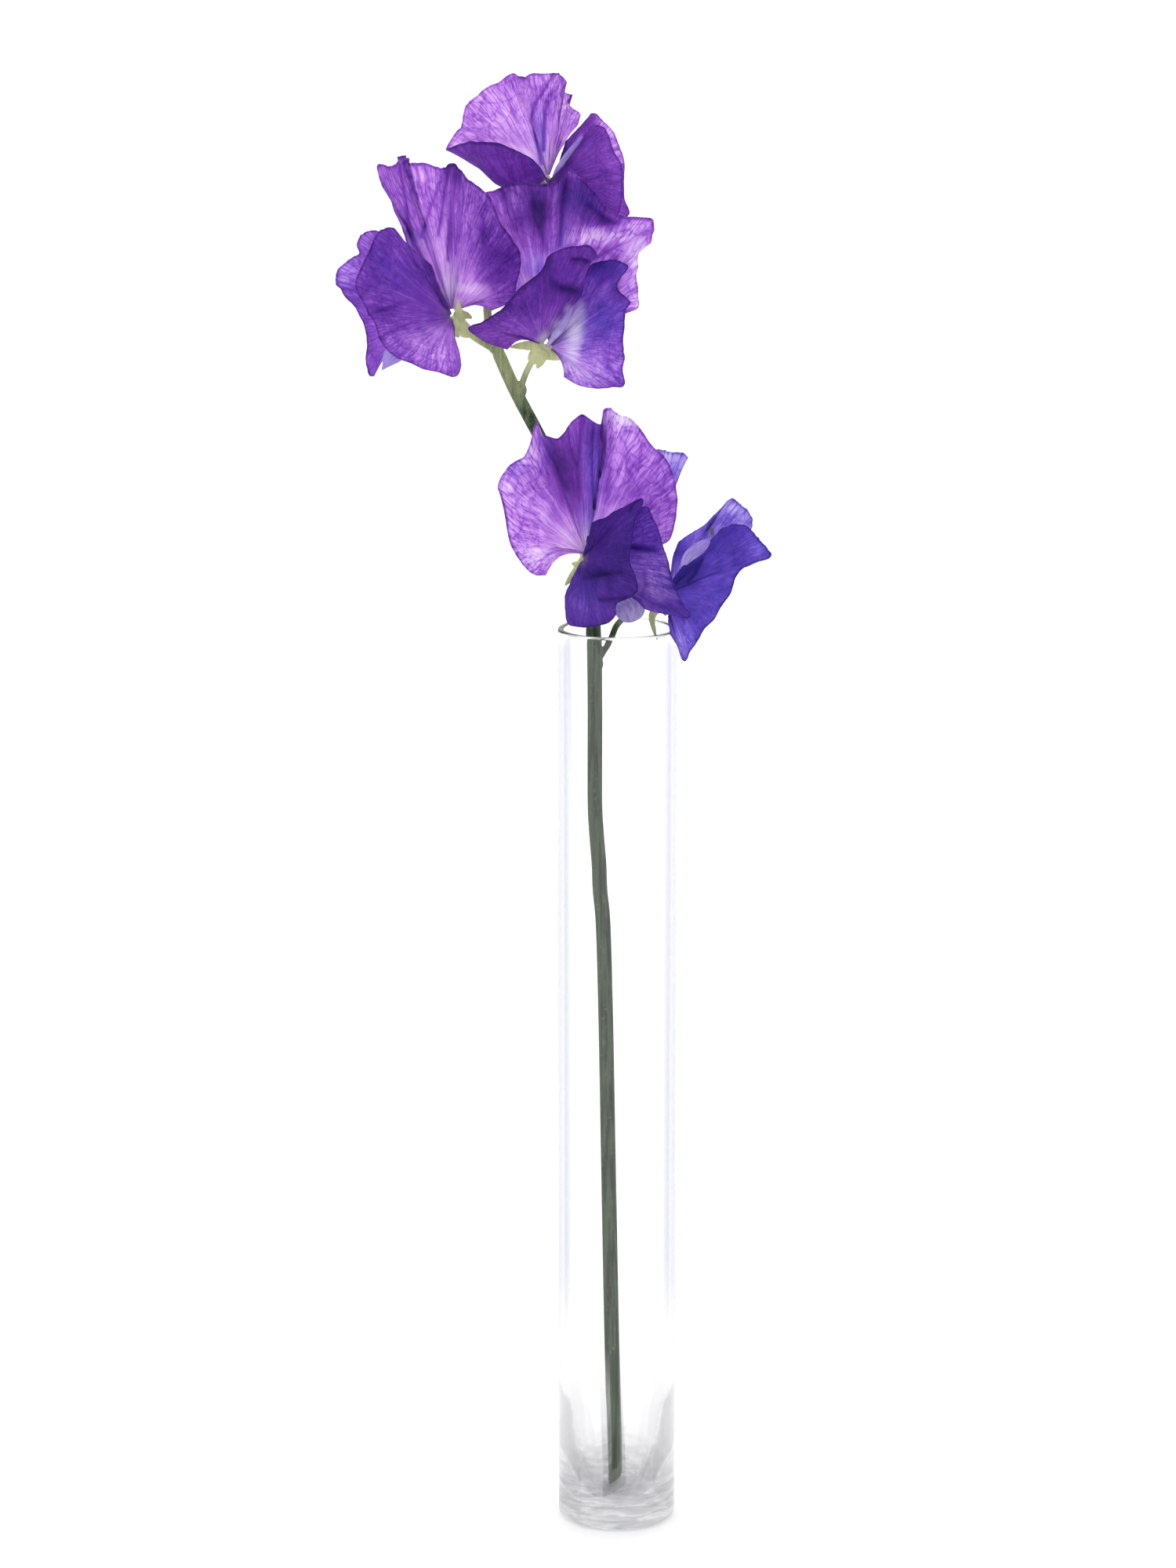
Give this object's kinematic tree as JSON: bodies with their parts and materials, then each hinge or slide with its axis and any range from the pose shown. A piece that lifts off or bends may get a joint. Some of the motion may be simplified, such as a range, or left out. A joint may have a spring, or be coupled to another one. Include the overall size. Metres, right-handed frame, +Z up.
{
  "type": "sweet pea flower stem in glass vase",
  "caption": "Cut stem of sweet pea with open violet blooms, standing in a tall slim cylinder vase of clear glass with a thick base.",
  "frame": {"origin": "centre of the vase's flat underside, on the surface that it stands on", "axes": "+Z up along the vase's axis; the picture is seen from -Y, with +X to the viewer's right; the upper blooms lean towards -X"},
  "size_m": [0.1088, 0.0477, 0.3694],
  "materials": {
    "glass": "clear, polished",
    "stem": "smooth fresh stem, faintly ribbed",
    "banner": "thin satin petal with fine veins",
    "wing": "thin satin petal with fine veins",
    "keel": "thin pale petal"
  },
  "bodies": {
    "root": {"vase": "glass", "stem": "stem", "bloom_low_left_banner": "banner", "bloom_low_left_wing_left": "wing", "bloom_low_left_wing_right": "wing", "bloom_low_left_keel": "keel", "bloom_low_right_banner": "banner", "bloom_low_right_wing_left": "wing", "bloom_low_right_wing_right": "wing", "bloom_low_right_keel": "keel", "bloom_mid_left_banner": "banner", "bloom_mid_left_wing_left": "wing", "bloom_mid_left_wing_right": "wing", "bloom_mid_left_keel": "keel", "bloom_mid_right_banner": "banner", "bloom_mid_right_wing_left": "wing", "bloom_mid_right_wing_right": "wing", "bloom_mid_right_keel": "keel", "bloom_top_banner": "banner", "bloom_top_wing_left": "wing", "bloom_top_wing_right": "wing", "bloom_top_keel": "keel"}
  },
  "joints": []
}
